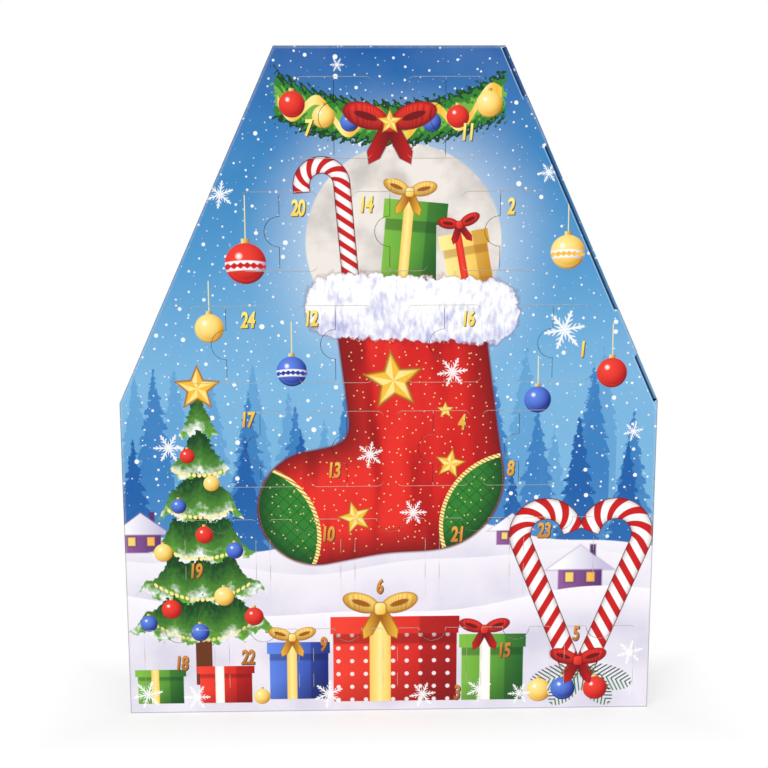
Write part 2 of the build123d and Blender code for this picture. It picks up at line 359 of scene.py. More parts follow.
    @as_motif
    def baubles(self, spots):
        """Glass balls with gold caps, each given by its place, size, dye and 1 for a lace band."""
        seats = [(x, z, size, 0, dye, mark) for x, z, size, dye, mark in spots]
        u, w, banded, dye = self.copies(seats, 1.32)
        light, plain, deep = self.tones(dye)
        cap = self.block(u, w - 1.08, 0.2, 0.13)
        brass = self.mix(self.math("MULTIPLY_ADD", u, 2.5, 0.5), LIGHT_GOLD, DEEP_GOLD)
        self.lay(self.inside(cap, 0.05), brass)
        reach = self.math("SQRT", u * u + w * w)
        lit_u, lit_w = u + 0.32, w - 0.36
        far = self.math("SQRT", lit_u * lit_u + lit_w * lit_w)
        body = self.mix(self.math("POWER", far * 0.8, 1.5), light, plain)
        body = self.mix(self.math("POWER", far * 0.68, 5.0), body, deep)
        girth = abs(w + 0.08 + u * u * 0.1)
        stripe = self.inside(girth - 0.24, 0.05) * banded
        tooth = girth - 0.05 - self.math("PINGPONG", u + 50.0, 0.16) * 0.7
        lace = self.mix(self.math("POWER", far * 0.75, 3.0), WHITE, WHITE_SHADE)
        body = self.mix(stripe, body, lace)
        body = self.mix(self.inside(tooth, 0.05) * stripe, body, plain)
        body = self.mix(self.inside(far - 0.13, 0.16) * 0.9, body, WHITE)
        rim = self.inside(abs(reach - 0.84) - 0.02, 0.16) * self.inside(w + u * 0.6 + 0.3, 0.8)
        body = self.mix(rim * 0.5, body, light)
        self.lay(self.inside(reach - 1.0, 0.05), body)

    @as_motif
    def gold_stars(self, spots):
        """Gold stars with folded rays."""
        u, w, _, _ = self.copies([(*spot, "gold", 0.0) for spot in spots], 1.1)
        along, across, fold = self.spokes(u, w, 5)
        inner = 0.45
        edge = (inner * math.cos(math.pi / 5) - 1.0, inner * math.sin(math.pi / 5))
        slant = edge[1] / math.hypot(*edge), -edge[0] / math.hypot(*edge)
        star = along * slant[0] + across * slant[1] - slant[0]
        self.lay(self.inside(star - 0.05, 0.05), DEEP_GOLD)
        facet = self.mix(self.inside(fold, 0.1), LIGHT_GOLD, GOLD)
        facet = self.mix(self.inside(-star - 0.045, 0.04) * 0.7, facet, DEEP_GOLD)
        self.lay(self.inside(star, 0.05), self.mix(along * 0.45, facet, GOLD))

    @as_motif
    def bows(self, spots):
        """Tied ribbon bows with two loops and two tails."""
        u, w, _, dye = self.copies([(*spot, 0.0) for spot in spots], 1.2)
        light, plain, deep = self.tones(dye)
        side = abs(u)
        tail_turn, loop_turn = math.radians(-62), math.radians(18)
        c, s = math.cos(tail_turn), math.sin(tail_turn)
        along, across = side * c + w * s, w * c - side * s
        tail = self.block(along - 0.55, across, 0.5, 0.14)
        tail = self.larger(tail, along - 0.98 + abs(across) * 1.4)
        self.lay(self.inside(tail - 0.03, 0.04), deep)
        self.lay(self.inside(tail, 0.04), self.mix(along - 0.1 + across * 1.5, deep, plain))
        c, s = math.cos(loop_turn), math.sin(loop_turn)
        along, across = side * c + w * s - 0.56, w * c - side * s
        reach = self.math("SQRT", along * along + across * across * 3.6)
        shade = self.math("MULTIPLY_ADD", across, 1.7, 0.6, clamp=True)
        pleat = abs(self.math("SINE", (across + 2.0) / (along + 0.75) * 9.0))
        self.lay(self.inside(reach - 0.53, 0.04), deep)
        self.lay(self.inside(reach - 0.5, 0.04), self.mix(shade, deep, plain))
        self.lay(self.inside(reach - 0.42, 0.1) * shade * pleat * 0.8, light)
        hole = self.math("SQRT", along * along + across * across * 12.0)
        self.lay(self.inside(hole - 0.27, 0.06), deep)
        knot = self.larger(self.block(u, w, 0.15, 0.17), side + abs(w) - 0.26)
        self.lay(self.inside(knot - 0.03, 0.04), deep)
        self.lay(self.inside(knot, 0.04), self.mix((u - w) * 2.5 + 0.4, light, plain))

    @as_motif
    def parcels(self, spots):
        """Wrapped boxes with lids, each given by its foot, size, turn, dye, ribbon and dots."""
        seat, size, dress = (0.0, 0.0, 0.0), (9.0, 9.0, 0.0), (0.0, 0.0, 0.0)
        for x, foot, width, height, turn, dye, ribbon, dots in spots:
            middle = foot + height / 2
            near = self.math("COMPARE", self.x, x, width / 2 + 2.0 + abs(turn) * 0.4)
            near = near * self.math("COMPARE", self.z, middle, height / 2 + 4.0)
            seat = self.pick(near, seat, (x + WIDTH, middle, self.dye_number(ribbon)))
            size = self.pick(near, size, (width, height, dots))
            dress = self.pick(near, dress, (math.radians(turn + 360), 0.0, self.dye_number(dye)))
        x, z, ribbon = self.parts(seat)
        width, height, dots = self.parts(size)
        turn, _, dye = self.parts(dress)
        light, plain, deep = self.tones(dye)
        ribbon_light, ribbon_plain, _ = self.tones(ribbon)
        u, w = self.local(x, z, turn)
        left, low = u / width, w / height
        body = self.mix(left + 0.55, light, plain)
        body = self.mix(low * -1.1 + left * 0.5, body, deep)
        turned = self.inside(-left + 0.2, 0.02) * 0.45
        body = self.mix(turned, body, deep)
        spot_u, spot_w = (self.math("PINGPONG", way + 900.0, 4.2) for way in (u, w))
        spot = self.math("SQRT", spot_u * spot_u + spot_w * spot_w) - 1.3
        body = self.mix(self.inside(spot, 0.4) * dots, body, WHITE)
        self.lay(self.inside(self.block(u, w, width * 0.5, height * 0.5)), body)
        lid = height * 0.1
        lid_w = w - (height * 0.5 - lid)
        under = self.block(u, lid_w + lid * 1.6, width * 0.5, lid * 0.6)
        self.lay(self.inside(under, 1.2) * 0.5, deep)
        top = self.mix(turned, self.mix(left + 0.45, light, plain), deep)
        self.lay(self.inside(self.block(u, lid_w, width * 0.5 + 1.6, lid)), top)
        strap = self.larger(abs(u + width * 0.12) - width * 0.085, abs(w) - height * 0.5)
        satin = self.mix(abs(left + 0.12) * 9.0, ribbon_light, ribbon_plain)
        self.lay(self.inside(strap), satin)

    def cane(self, u, w, height):
        """A striped sugar cane: places about its foot, towards its hook and up its stem."""
        thick, bend = height * 0.058, height * 0.15
        straight = height - bend
        arc_u, arc_w = u - bend, w - straight
        bent = self.larger(arc_w, 0.0)
        across = self.math("SQRT", arc_u * arc_u + bent * bent) - bend
        turned = self.math("ARCTAN2", bent, -arc_u) * bend
        run = turned + straight - self.math("SIGN", arc_u) * self.smaller(arc_w, 0.0)
        length = straight + (math.pi + 0.25) * bend
        shape = self.larger(abs(across) - thick, self.larger(-run, run - length))
        stripe = self.math("PINGPONG", run + across * 0.8 + 400.0, height * 0.05)
        body = self.mix(self.inside(stripe - height * 0.024, 0.5), WHITE, RED)
        round_edge = self.math("POWER", abs(across) / thick, 3.0)
        body = self.mix(round_edge * 0.45, body, DEEP_RED)
        self.lay(self.inside(shape - 0.5), DEEP_RED)
        self.lay(self.inside(shape), body)

    def wood(self, base, height, pitch, shift, colour, strength=1.0):
        """A row of fir trees in outline, of uneven heights."""
        run = (self.x + (WIDTH + shift)) / pitch
        cell = self.math("FLOOR", run)
        chance = self.node("ShaderNodeTexWhiteNoise", {"noise_dimensions": "1D"}, {"W": cell})
        top = chance * (height * 0.5) + (base + height * 0.5)
        side = abs(self.math("FRACT", run) - 0.5 - (chance - 0.5) * 0.3) * pitch
        down = top - self.z
        tier = self.math("FRACT", down / (height * 0.085))
        half = down * 0.2 * (tier * 0.35 + 0.72)
        ragged = self.noise(self.flat, 3.2, 3.0) * 5.0 - 2.5
        shape = side - half + ragged
        ground = self.math("MULTIPLY_ADD", self.z, 1 / 40.0, -base / 40.0, clamp=True)
        trees = self.inside(shape, 0.7) * self.inside(-down, 0.5)
        self.lay(trees * strength * (ground * 0.25 + 0.75), colour)

    @as_motif
    def snow_specks(self, cell, size, strength, shift=0.0):
        """Falling snow: one soft dot of its own size in each cell."""
        place = self.moved(self.flat, at=(shift, shift, 0), scale=(1 / cell,) * 3)
        settings = {"voronoi_dimensions": "2D", "feature": "F1"}
        near, tint = (
            self.node("ShaderNodeTexVoronoi", settings, {"Vector": place, "Scale": 1.0}, output)
            for output in ("Distance", "Color")
        )
        chance = self.node("ShaderNodeSeparateColor", sockets={0: tint}, output=0)
        speck = near * cell - size * (chance * chance + 0.22)
        self.lay(self.inside(speck, 0.35) * strength, WHITE)

    @as_motif
    def snow_ground(self, base, wave, length, shift, light, shade):
        """A drift of snow with a soft bright crest."""
        crest = self.math("SINE", (self.x + shift) / length) * wave
        crest = crest + self.math("SINE", (self.x - shift) / (length * 0.37)) * (wave * 0.3) + base
        under = crest - self.z
        depth = self.math("MULTIPLY", under, 1 / 26.0, clamp=True)
        lump = self.noise(self.flat, length * 0.6, 3.0)
        body = self.mix(depth * lump * 1.3, light, shade)
        self.lay(self.inside(-under, 0.6), body)


# the sky, by share of the carton's height
SKY = [
    (0.0, (120, 179, 220)), (0.52, (120, 179, 220)), (0.7, (78, 150, 202)),
    (0.87, (42, 122, 184)), (1.0, (2, 84, 160)),
]
CLOUD = (190, 220, 244)
# rows of fir trees from far to near: foot, height, pitch, shift, colour and strength
WOODS = [
    (118.0, 120.0, 23.0, 4.0, (88, 154, 206), 0.75),
    (112.0, 108.0, 29.0, 12.0, (48, 120, 186), 0.9),
    (100.0, 96.0, 33.0, 15.0, (24, 94, 166), 1.0),
]
# drifts of snow: foot, height and length of the waves, shift, light and shade
SNOW, NEAR_SNOW, SNOW_SHADE = (244, 240, 247), (250, 246, 251), (212, 208, 226)
FAR_DRIFT = (112.0, 7.0, 38.0, 25.0, SNOW, SNOW_SHADE)
MIDDLE_DRIFT = (96.0, 6.0, 47.0, -20.0, SNOW, SNOW_SHADE)
NEAR_DRIFT = (70.0, 8.0, 61.0, -60.0, NEAR_SNOW, SNOW_SHADE)


def winter_scene(sheet):
    """The ground of the print: evening sky, far woods, falling snow and the farthest drift."""
    height = sheet.math("MULTIPLY", sheet.z, 1 / HEIGHT, clamp=True)
    sky = sheet.node("ShaderNodeValToRGB", {"stops": SKY}, {0: height})
    cloud = sheet.noise(sheet.flat, 70.0, 3.0)
    sheet.so_far = sheet.mix((cloud - 0.4) * 0.22, sky, CLOUD)
    with sheet.motif("woods"):
        for row in WOODS:
            sheet.wood(*row)
    sheet.snow_specks(cell=15.0, size=1.25, strength=0.95)
    sheet.snow_specks(cell=7.0, size=0.62, strength=0.85, shift=4.7)
    sheet.snow_ground(*FAR_DRIFT)


front = Picture("printed front board", roughness=0.42, specular_level=0.22)
front.start()
across, deep, up = front.axes(front.places)
front.spread(across, up)
winter_scene(front)

# the full moon with its halo
MOON_X, MOON_Z, MOON_RADIUS = 8.0, 290.0, 57.0
MOON, MOON_SHADE, HALO = (236, 230, 222), (202, 195, 190), (232, 242, 252)
with front.motif("moon"):
    beyond = front.gap(MOON_X, MOON_Z) - MOON_RADIUS
    front.lay(front.math("POWER", front.inside(beyond - 18.0, 46.0), 1.5) * 0.5, HALO)
    craters = front.noise(front.flat, 26.0, 6.0)
    front.lay(front.inside(beyond, 0.8), front.mix((craters - 0.42) * 3.6, MOON, MOON_SHADE))

# a pale line beside the cut edges of the three slots in the right slope, between and beside the lock tabs:
# the board's pale core, lit up as a painted highlight
SLOT_DEPTH, LOCK_TAB_WIDTH, LOCK_TAB_SPACING = 2.8, 28.0, 135.3
CUT_EDGE_AND_HIGHLIGHT = (168, 208, 240)
with front.motif("slot edges"):
    from_slope = (WIDTH / 2 - front.x) * LEAN[0] + (SHOULDER - front.z) * LEAN[1]
    middle_x, middle_z = (WIDTH + RIDGE) / 4, (SHOULDER + HEIGHT) / 2
    along_slope = (front.z - middle_z) * LEAN[0] - (front.x - middle_x) * LEAN[1]
    past_tab = LOCK_TAB_WIDTH / 2 - abs(abs(along_slope) - LOCK_TAB_SPACING / 2)
    # painted highlight: a pale line on the print just inside each slot's cut edge
    edge = front.inside(abs(from_slope - SLOT_DEPTH - 0.35) - 0.3, 0.4)
    front.lay(edge * front.inside(past_tab, 0.5) * 0.55, CUT_EDGE_AND_HIGHLIGHT)

# three cottages among the drifts: place and width of each
COTTAGES = [(74, 106, 19), (-150, 103, 24), (116, 77, 27)]
WALL_LIGHT, WALL_DARK = (150, 92, 158), (84, 48, 108)
PANE_LIGHT, PANE_DARK = (255, 226, 120), (246, 170, 60)
ROOF_SHADE = (196, 190, 218)
front.snow_ground(*MIDDLE_DRIFT)
with front.motif("cottages"):
    u, w, _, _ = front.copies([(*spot, 0, "cream", 0.0) for spot in COTTAGES], 1.3)
    lit = u + 0.5
    walls = front.block(u, w - 0.28, 0.5, 0.28)
    front.lay(front.inside(walls, 0.04), front.mix(lit, WALL_LIGHT, WALL_DARK))
    panes = front.block(abs(u) - 0.24, w - 0.3, 0.09, 0.11)
    front.lay(front.inside(panes - 0.03, 0.04), WALL_DARK)
    front.lay(front.inside(panes, 0.04), front.mix(lit, PANE_LIGHT, PANE_DARK))
    chimney = front.block(u - 0.28, w - 0.9, 0.07, 0.17)
    front.lay(front.inside(chimney, 0.04), WALL_DARK)
    roof = front.larger(abs(u) * 0.75 + w - 1.04, -w + 0.48)
    front.lay(front.inside(roof - 0.03, 0.06) * 0.5, WALL_LIGHT)
    front.lay(front.inside(roof, 0.04), front.mix(lit, WHITE, ROOF_SHADE))
front.snow_ground(*NEAR_DRIFT)

# the fir tree, with strings of gold beads, glass balls and a star
TREE_X, TREE_TOP, TIER, TIERS = -114.0, 205.0, 26.0, 6
TRUNK_MIDDLE, TRUNK_HALF_WIDTH, TRUNK_HALF_HEIGHT = 34.0, 5.0, 16.0
BARK = (104, 52, 24)
with front.motif("fir tree"):
    u = front.x - TREE_X
    trunk = front.block(u, front.z - TRUNK_MIDDLE, TRUNK_HALF_WIDTH, TRUNK_HALF_HEIGHT)
    front.lay(front.inside(trunk), BARK)
    ragged = front.noise(front.flat, 2.6, 3.0) - 0.5
    scallop = abs(front.math("SINE", u / 5.5)) * -5.0
    down = (TREE_TOP - front.z + scallop + ragged * 8.0 + u * u * 0.004) / TIER
    tier = front.math("FLOOR", down)
    drop = down - tier
    spread = tier * 4.6 + (tier * 2.2 + 11.0) * front.math("POWER", drop, 1.15) + 1.0
    side = abs(u) - spread + ragged * 9.0
    shape = front.larger(side, front.larger(down - TIERS, -down) * TIER)
    needle = front.noise(front.moved(front.flat, scale=(1, 0.45, 1)), 2.0, 2.0)
    leaves = front.mix((1.15 - drop) * 0.95 + (needle - 0.5) * 1.6, GREEN, DEEP_GREEN)
    leaves = front.mix(drop * drop * needle * 1.3, leaves, LIGHT_GREEN)
    patchy = front.noise(front.flat, 8.0, 2.0)
    frost = front.inside(0.8 - drop, 0.25) * front.inside(0.5 - patchy, 0.14)
    leaves = front.mix(frost * 0.85, leaves, WHITE)
    front.lay(front.inside(shape, 0.6), leaves)
    sag = (TREE_TOP - front.z - 15.0 + u * u * 0.012) / TIER
    chain = (front.math("FRACT", sag) - 0.5) * TIER
    along = front.math("PINGPONG", u + 90.0, 1.55)
    bead = front.math("SQRT", along * along + chain * chain) - 1.2
    off_tree = front.larger(front.larger(side + 2.0, 0.9 - sag), sag - TIERS + 0.4)
    front.lay(front.inside(bead, 0.4) * front.inside(off_tree, 0.5), LIGHT_GOLD)

# the stocking in the middle, of red velvet with quilted heel and toe. Its leg and its foot
# are bars, each given by its two ends and half its width.
LEG, FOOT, STOCKING_TOP = (12.0, 244.0, 24.0, 150.0, 43.0), (24.0, 143.0, -44.0, 130.0, 35.0), 256.0
TOE, HEEL, PATCH_RADIUS = (-88.0, 112.0), (76.0, 118.0), 44.0
VELVET_LIGHT, VELVET_FOLD = (232, 44, 36), (150, 8, 14)
with front.motif("stocking"):
    sock = front.math("SMOOTH_MIN", front.bar(*LEG), front.bar(*FOOT), 22.0)
    sock = front.larger(sock, front.z - STOCKING_TOP)
    velvet = front.noise(front.flat, 1.1, 2.0) - 0.5
    folds = front.noise(front.moved(front.flat, turn=-8, scale=(1, 0.22, 1)), 15.0, 1.0)
    glow = front.math("MULTIPLY_ADD", front.x + front.z * 0.3, 1 / 90.0, -0.1)
    glow = glow + (folds - 0.5) * 2.2 + velvet * 0.4
    cloth = front.mix(glow, VELVET_LIGHT, RED)
    cloth = front.mix((folds - 0.56) * 3.0, cloth, VELVET_FOLD)
    cloth = front.mix(front.math("MULTIPLY_ADD", sock, 1 / 20.0, 0.88, clamp=True), cloth, DEEP_RED)
    front.lay(front.inside(sock - 1.0, 1.6), DEEP_RED)
    front.lay(front.inside(sock), cloth)
    quilt = front.math("PINGPONG", front.x + front.z + 600.0, 4.0)
    quilt = front.smaller(quilt, front.math("PINGPONG", front.x - front.z + 600.0, 4.0)) - 0.3
    wool = front.mix(front.inside(quilt, 0.7) * 0.8, GREEN, DEEP_GREEN)
    wool = front.mix(front.math("MULTIPLY_ADD", sock, 1 / 16.0, 0.9, clamp=True), wool, DEEP_GREEN)
    patch = front.smaller(front.gap(*TOE), front.gap(*HEEL)) - PATCH_RADIUS
    twist = front.math("PINGPONG", front.z + front.x * 0.5 + 600.0, 1.1) - 0.35
    cord = front.mix(front.inside(twist, 0.4), LIGHT_GOLD, DEEP_GOLD)
    front.lay(front.inside(front.larger(sock, patch - 2.4)), cord)
    front.lay(front.inside(front.larger(sock, patch)), wool)
    settings = {"voronoi_dimensions": "2D", "feature": "F1"}
    glitter = front.node("ShaderNodeTexVoronoi", settings, {"Vector": front.flat, "Scale": 0.17})
    glitter = front.inside(glitter * 6.0 - 0.42, 0.3)
    front.lay(glitter * front.inside(sock + 3.0, 1.0) * 0.8, LIGHT_GOLD)

# what stands in the stocking, and the boxes in the snow: foot, size, turn, dye, ribbon, dots
with front.motif("sugar cane"):
    u, w = front.turned(-22.0, 258.0, 5.0)
    front.cane(-u, w, 78.0)
front.parcels([
    (13.0, 258.0, 34.0, 56.0, -5, "green", "gold", 0.0), (46.0, 254.0, 26.0, 42.0, 10, "gold", "red", 0.0),
    (-141.0, 6.0, 28.0, 22.0, 0, "green", "gold", 0.0), (-101.0, 6.0, 32.0, 24.0, 0, "red", "cream", 0.0),
    (-56.0, 8.0, 36.0, 37.0, 0, "blue", "gold", 0.0), (3.0, 6.0, 76.0, 55.0, 0, "red", "gold", 0.8),
    (63.0, 6.0, 38.0, 43.0, 0, "green", "cream", 0.0),
])

# its fleece cuff, a bar too
CUFF = (-30.0, 253.0, 57.0, 249.0, 19.0)
FLEECE_SHADE = (168, 170, 220)
with front.motif("cuff"):
    fleece = front.noise(front.flat, 5.0, 4.0) - 0.5
    cuff = front.bar(*CUFF) + fleece * 9.0
    curl = front.noise(front.moved(front.flat, at=(31.0, 7.0, 0.0), turn=12, scale=(1, 0.42, 1)), 2.6, 3.0)
    lump = front.noise(front.flat, 13.0, 2.0)
    shade = front.math("MULTIPLY_ADD", front.z, -1 / 38.0, 6.9, clamp=True)
    shade = shade * 0.6 + (curl + lump - 1.0) * 1.5
    front.lay(front.inside(cuff - 1.2, 3.0) * 0.5, DEEP_RED)
    front.lay(front.inside(cuff, 1.4), front.mix(shade, WHITE, FLEECE_SHADE))

# two canes that make a heart, each leaning out from the foot of the heart, on fir twigs
HEART_X, HEART_FOOT, HEART_LEAN, CANE_LENGTH = 116.0, 22.0, math.radians(22), 107.0
TWIGS_X, TWIGS = 118.0, [(16, 20, -15), (8, 15, -50)]
with front.motif("heart of canes"):
    side, rise = abs(front.x - HEART_X), front.z - HEART_FOOT
    c, s = math.cos(HEART_LEAN), math.sin(HEART_LEAN)
    front.cane(rise * s - (side - 2.0) * c, (side - 2.0) * s + rise * c, CANE_LENGTH)
with front.motif("fir twigs"):
    side = abs(front.x - TWIGS_X)
    for x, z, turn in TWIGS:
        c, s = math.cos(math.radians(turn)), math.sin(math.radians(turn))
        u, w = (side - x) * c + (front.z - z) * s, (front.z - z) * c - (side - x) * s
        twig = front.math("PINGPONG", u - abs(w) * 0.9 + 300.0, 1.5) - 0.55
        twig = front.larger(twig, front.math("SQRT", u * u * 0.25 + w * w) - 8.0)
        green = front.mix(front.math("MULTIPLY_ADD", w, 0.1, 0.5, clamp=True), GREEN, DEEP_GREEN)
        front.lay(front.inside(twig, 0.5), green)

# the swag of fir across the gable, wound with ribbon. It hangs in an arc, in layers from
# deep to light green.
SWAG_MIDDLE, SWAG_RADIUS, SWAG_END = (0.0, 500.0), 142.0, 66.0
SWAG_LAYERS = [(12.0, DEEP_GREEN, 1.0), (9.0, GREEN, 1.0), (4.5, LIGHT_GREEN, 0.75)]
with front.motif("swag"):
    needles = front.noise(front.flat, 2.4, 2.0) * 9.0 - 4.5
    sag = front.gap(*SWAG_MIDDLE) - SWAG_RADIUS
    tuft = front.math("PINGPONG", front.x + abs(sag) * 1.2 + 300.0, 3.0) - 1.5
    ends = abs(front.x) - SWAG_END + needles
    for reach, colour, strength in SWAG_LAYERS:
        band = front.larger(abs(sag) - reach + needles + tuft * 1.2, ends)
        front.lay(front.inside(band, 0.5) * strength, colour)
    ribbon = sag - front.math("SINE", front.x / 5.2) * 7.0
    band = front.larger(abs(ribbon) - 2.6, abs(front.x) - (SWAG_END - 2.0))
    satin = front.mix(front.math("SINE", front.x / 2.6) * 0.5 + 0.5, GOLD, LIGHT_GOLD)
    front.lay(front.inside(band, 0.5), satin)

# glass balls in the sky, on the tree, along the swag and in the snow: place, size and dye,
# and for those that hang from a thread, 1 for a lace band
HUNG = [
    (-84, 278, 12, "red", 1.0), (104, 284, 10, "gold", 1.0), (-58, 214, 9, "blue", 1.0),
    (-106, 240, 8.5, "gold", 0.0), (132, 212, 9, "red", 0.0), (88, 196, 8, "blue", 0.0),
]
ON_TREE = [
    (-121, 163, 4.5, "red"), (-107, 146, 4.8, "gold"), (-127, 132, 4.6, "blue"), (-112, 114, 5.4, "red"),
    (-94, 104, 5.2, "blue"), (-137, 103, 5.6, "gold"), (-101, 75, 6.0, "gold"), (-133, 67, 6.0, "red"),
    (-83, 62, 5.8, "red"), (-147, 58, 5.2, "blue"), (-116, 52, 5.6, "blue"),
]
ON_SWAG = [
    (-56, 369, 7.5, "red"), (-38, 362, 6.5, "gold"), (-23, 359, 5.5, "blue"),
    (24, 359, 5.5, "blue"), (39, 362, 6.5, "red"), (57, 369, 7.5, "gold"),
]
IN_SNOW = [(92, 12, 7.5, "gold"), (-79, 10, 5.0, "gold"), (107, 13, 7.5, "blue"), (127, 13, 7.5, "red")]
front.threads([(x, z + size, size * 2.3) for x, z, size, dye, mark in HUNG])
front.baubles(HUNG + [(*spot, 0.0) for spot in ON_TREE + ON_SWAG + IN_SNOW])

# bows on the boxes, the swag and the canes, then gold stars and snow crystals: place, size
# and turn of each
front.bows([
    (11.5, 319.0, 15.0, -5, "gold"), (40.5, 300.0, 12.0, 10, "red"), (-60.0, 48.0, 14.0, 0, "gold"),
    (-6.0, 66.0, 22.0, 0, "gold"), (58.0, 52.0, 15.0, 0, "red"), (HEART_X, 31.0, 17.0, 0, "red"),
    (0.0, 358.0, 26.0, 0, "red"),
])
front.gold_stars([
    (TREE_X, TREE_TOP - 1.0, 13.0, 90), (2.0, 208.0, 17.0, 96), (36.0, 157.0, 9.0, 80),
    (-21.0, 124.0, 10.0, 105), (33.0, 190.0, 5.0, 90), (0.0, 359.0, 7.0, 90),
])
front.snow_crystals([
    (103, 238, 12, 10), (-132, 168, 9, 0), (-98, 318, 8, 20), (92, 330, 6, 5), (146, 176, 6, 14),
    (-30, 391, 4, 0), (37, 213, 9, 8), (-12, 163, 8, 20), (14, 127, 8, 0), (-149, 12, 9, 12),
    (-119, 10, 8, 0), (-38, 11, 9, 22), (20, 10, 8, 8), (55, 13, 8, 25), (80, 10, 7, 3), (148, 36, 8, 16),
])

# bare board at the back of the sheet and at its cut edges; its pale core also along the folds, as ink
# rubbed through and a painted highlight; and the painted shade at the very fold
BOARD_INSIDE, BOARD_FIBRE, BOARD_CORE_AND_FOLD_HIGHLIGHT = (224, 219, 209), (208, 202, 191), (232, 228, 220)
FOLD_SHADE = (44, 50, 96)
FIBRE_RISE = 0.02


def board(sheet, print_side):
    """Dresses a sheet: bare where it isn't printed or is cut; along its folds rubbed to the core with a
    painted highlight, and darkened at the very fold with a painted shade.
    """
    ink = sheet.so_far
    facing = sheet.axes(sheet.normal)[1]
    fibres = sheet.noise(sheet.places, 1.4, 4.0, "3D")
    across, deep, up = sheet.axes(sheet.places)
    across = abs(across)
    outline = sheet.larger(across - WIDTH / 2, sheet.larger(-up, up - HEIGHT))
    outline = sheet.larger(outline, (across - WIDTH / 2) * LEAN[0] + (up - SHOULDER) * LEAN[1])
    from_fold = DEPTH / 2 - abs(deep) - outline
    # a light band along each fold: the board core where the ink is rubbed through, and a painted highlight
    # on the fold's rounded edge
    ink = sheet.mix(sheet.inside(from_fold - 1.3, 1.2) * fibres * 0.35, ink, BOARD_CORE_AND_FOLD_HIGHLIGHT)
    # a dark line at the very fold: painted shade where the rounded fold turns away from the light
    ink = sheet.mix(sheet.inside(from_fold - 0.45, 0.5) * 0.55, ink, FOLD_SHADE)
    bare = sheet.mix(fibres, BOARD_INSIDE, BOARD_FIBRE)
    cut = sheet.inside(abs(facing) - 0.5, 0.2) * sheet.inside(outline + 0.15, 0.1)
    ink = sheet.mix(cut, ink, BOARD_CORE_AND_FOLD_HIGHLIGHT)
    ink = sheet.mix(print_side, bare, ink)
    sheet.bump(fibres, 0.25, FIBRE_RISE)
    return sheet.close(base_color=ink)


front_board = board(front, front.inside(front.axes(front.normal)[1] - 0.5, 0.2))


def finish_nodes(material, *starts):
    """Gives its material to each node whose name starts as said."""
    for name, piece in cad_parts.items():
        if name.startswith(starts):
            piece.data.materials.clear()
            piece.data.materials.append(material)


finish_nodes(front_board, "front_panel", "door_")

# Numbers: one stamped in warm yellow on each door, over a dark brown ground that shows at
# its lower right edge. Both are pressed on the board, so they stand hardly proud of it.

NUMBER_PLACES = {
    1: (114.3, 226.3), 2: (70.3, 310.8), 3: (41.3, 11.2), 4: (42.9, 182.6), 5: (114.4, 48.8),
    6: (-6.3, 80.5), 7: (-46.3, 355.7), 8: (72.6, 154.0), 9: (-40.8, 43.6), 10: (-37.0, 113.9),
    11: (44.9, 353.3), 12: (-45.9, 245.8), 13: (-33.1, 153.7), 14: (-13.3, 312.3), 15: (70.7, 38.3),
    16: (46.5, 245.3), 17: (-83.9, 184.9), 18: (-127.3, 32.3), 19: (-117.2, 91.3), 20: (-53.2, 310.2),
    21: (40.5, 113.1), 22: (-87.4, 35.8), 23: (93.3, 115.0), 24: (-83.4, 244.9),
}
NUMBER_HEIGHT = 9.8
DIGIT_NARROWING = 0.66
DIGIT_WEIGHT = 0.034
DIGIT_SLANT = 0.13
DIGIT_SPACING = 0.94

# the colour of the face from the lowest doors to the highest, at the foot of each digit and at its top:
# lighter towards the top of each digit and towards the highest doors
INK_FOOT = [
    (0.0, (150, 84, 16)), (0.25, (196, 112, 22)), (0.5, (232, 166, 40)),
    (0.6, (244, 206, 62)), (1.0, (246, 210, 70)),
]
INK_TOP = [
    (0.0, (196, 124, 34)), (0.25, (232, 158, 44)), (0.5, (250, 210, 84)),
    (0.6, (255, 238, 126)), (1.0, (255, 242, 140)),
]
GROUND_BROWN, GROUND_DARK = (74, 44, 14), (44, 24, 8)

ink_face = Finish("yellow number ink", roughness=0.4)
ink_face.start()
within = ink_face.axes(ink_face.node("ShaderNodeTexCoord", output="Generated"))[2]
row = ink_face.math("MULTIPLY", ink_face.axes(ink_face.places)[2], 1 / HEIGHT)
low, high = (
    ink_face.node("ShaderNodeValToRGB", {"stops": stops}, {0: row}) for stops in (INK_FOOT, INK_TOP)
)
ink_face = ink_face.close(base_color=ink_face.mix(within, low, high))

ink_ground = Finish("brown number ground", roughness=0.5)
ink_ground.start()
mottle = ink_ground.noise(ink_ground.places, 2.0, 2.0, "3D")
ink_ground = ink_ground.close(base_color=ink_ground.mix(mottle, GROUND_BROWN, GROUND_DARK))


def digits(texts):
    """The outlines of the numbers as flat shapes in their own plane, one unit tall."""
    holders = []
    for text in texts:
        curve = bpy.data.curves.new("digits", "FONT")
        curve.body = text
        curve.offset = DIGIT_WEIGHT
        curve.shear = DIGIT_SLANT
        curve.space_character = DIGIT_SPACING
        curve.resolution_u = 6
        holders.append(bpy.data.objects.new("digits", curve))
        bpy.context.collection.objects.link(holders[-1])
    seen = bpy.context.evaluated_depsgraph_get()
    shapes = []
    for holder in holders:
        mesh = bpy.data.meshes.new_from_object(holder.evaluated_get(seen))
        xs, ys = [v.co.x for v in mesh.vertices], [v.co.y for v in mesh.vertices]
        size, x, y = max(ys) - min(ys), (min(xs) + max(xs)) / 2, (min(ys) + max(ys)) / 2
        corners = [((v.co.x - x) / size, (v.co.y - y) / size) for v in mesh.vertices]
        shapes.append((corners, [tuple(face.vertices) for face in mesh.polygons]))
        bpy.data.objects.remove(holder)
    return shapes


